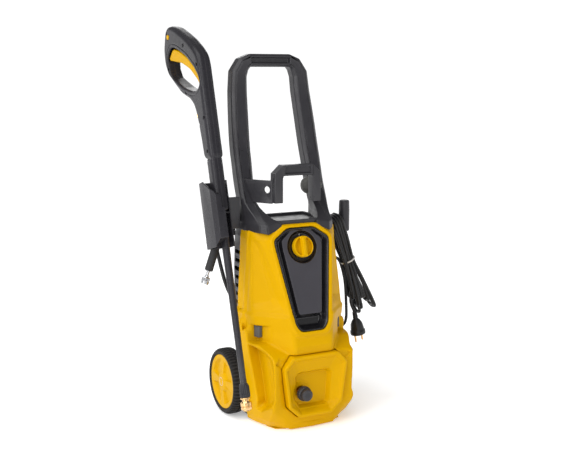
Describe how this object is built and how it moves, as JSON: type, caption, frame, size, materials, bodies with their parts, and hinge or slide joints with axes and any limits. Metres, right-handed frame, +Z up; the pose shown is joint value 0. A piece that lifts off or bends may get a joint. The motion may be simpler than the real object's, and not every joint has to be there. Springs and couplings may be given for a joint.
{
  "type": "pressure washer",
  "caption": "Upright electric pressure washer on two wheels, with a loop handle, a rotary switch, a holstered spray lance, a hung mains lead and a coiled hose.",
  "frame": {"origin": "on the floor, in the middle of the footprint without the cords", "axes": "+Z up, -Y towards the front with the switch and outlet, +X towards the side where the lead hangs"},
  "size_m": [0.4567, 0.4398, 0.8961],
  "materials": {
    "yellow_shell": "gloss",
    "black_shell": "satin grained",
    "grey_plastic": "matte",
    "rubber": "matte",
    "tyre": "ribbed",
    "steel": "satin",
    "aluminium": "cast",
    "brass": "machined"
  },
  "bodies": {
    "machine": {"front_housing": "yellow_shell", "rear_housing": "black_shell", "top_cover": "black_shell", "outlet_cover": "yellow_shell", "control_panel": "black_shell", "main_handle": "black_shell", "carry_handle": "black_shell", "pocket_insert_left": "grey_plastic", "pocket_insert_right": "grey_plastic", "foot_left": "yellow_shell", "foot_right": "yellow_shell", "motor_body": "aluminium", "pump_body": "aluminium", "piston_1": "steel", "piston_2": "steel", "piston_3": "steel", "pump_head": "brass", "outlet_fitting": "brass", "water_inlet": "brass", "power_switch": "black_shell", "axle": "steel", "gun_holder": "black_shell", "holder_bracket": "black_shell", "cable_hook": "black_shell", "hose_rest": "black_shell", "hose_hook": "black_shell", "strain_relief": "rubber", "power_cord_lead": "rubber", "cord_hank": "rubber", "power_cord_tail": "rubber", "plug_body": "rubber", "plug_pin_left": "steel", "plug_pin_right": "steel", "hose_coil": "rubber", "hose_tube": "rubber", "hose_sleeve": "rubber", "hose_nipple": "steel", "hose_nut": "steel", "hose_far_fitting": "brass"},
    "knob": {"switch_knob": "yellow_shell"},
    "wheel_left": {"wheel_hub_left": "yellow_shell", "tyre_left": "tyre"},
    "wheel_right": {"wheel_hub_right": "yellow_shell", "tyre_right": "tyre"},
    "rotor": {"motor_shaft": "steel", "cooling_fan": "grey_plastic", "swash_plate": "steel"},
    "cap": {"outlet_cap": "black_shell"},
    "gun": {"gun_shell_left": "black_shell", "gun_shell_right": "black_shell", "trigger_pin": "steel", "gun_valve": "brass", "gun_inlet": "brass", "lance_tube": "black_shell", "lance_collar": "black_shell", "quick_coupler": "brass"},
    "trigger": {"trigger": "yellow_shell"},
    "lock": {"trigger_lock": "yellow_shell"},
    "sleeve": {"coupler_sleeve": "brass"},
    "nozzle": {"spray_nozzle": "grey_plastic"}
  },
  "joints": [
    {"name": "knob_turn", "type": "hinge", "parent": "machine", "child": "knob", "pos_m": [0.0091, -0.14121, 0.4063], "axis": [0, -0.9628, 0.2702], "range_deg": [0, 90]},
    {"name": "wheel_left_spin", "type": "hinge", "parent": "machine", "child": "wheel_left", "pos_m": [-0.1209, -0.01891, 0.0775], "axis": [1, 0, 0], "continuous": true},
    {"name": "wheel_right_spin", "type": "hinge", "parent": "machine", "child": "wheel_right", "pos_m": [0.1391, -0.01891, 0.0775], "axis": [1, 0, 0], "continuous": true},
    {"name": "rotor_spin", "type": "hinge", "parent": "machine", "child": "rotor", "pos_m": [0.0091, -0.06491, 0.2], "axis": [0, 0, 1], "continuous": true},
    {"name": "cap_pull", "type": "slide", "parent": "machine", "child": "cap", "axis": [0, -1, 0], "range_m": [0, 0.02]},
    {"name": "gun_lift", "type": "slide", "parent": "machine", "child": "gun", "axis": [0, 0.2924, 0.9563], "range_m": [0, 0.12]},
    {"name": "trigger_pull", "type": "hinge", "parent": "gun", "child": "trigger", "pos_m": [-0.1609, 0.01171, 0.79763], "axis": [1, 0, 0], "range_deg": [0, 7], "stiffness_Nm_per_rad": 0.5, "springref_deg": -5.73},
    {"name": "lock_push", "type": "slide", "parent": "gun", "child": "lock", "axis": [1, 0, 0], "range_m": [0, 0.004]},
    {"name": "sleeve_slide", "type": "slide", "parent": "gun", "child": "sleeve", "axis": [0, 0.2924, 0.9563], "range_m": [0, 0.004], "stiffness_N_per_m": 200, "springref_m": -0.004},
    {"name": "nozzle_pull", "type": "slide", "parent": "machine", "child": "nozzle", "axis": [-0.8499, 0.5269, 0], "range_m": [0, 0.025]}
  ]
}
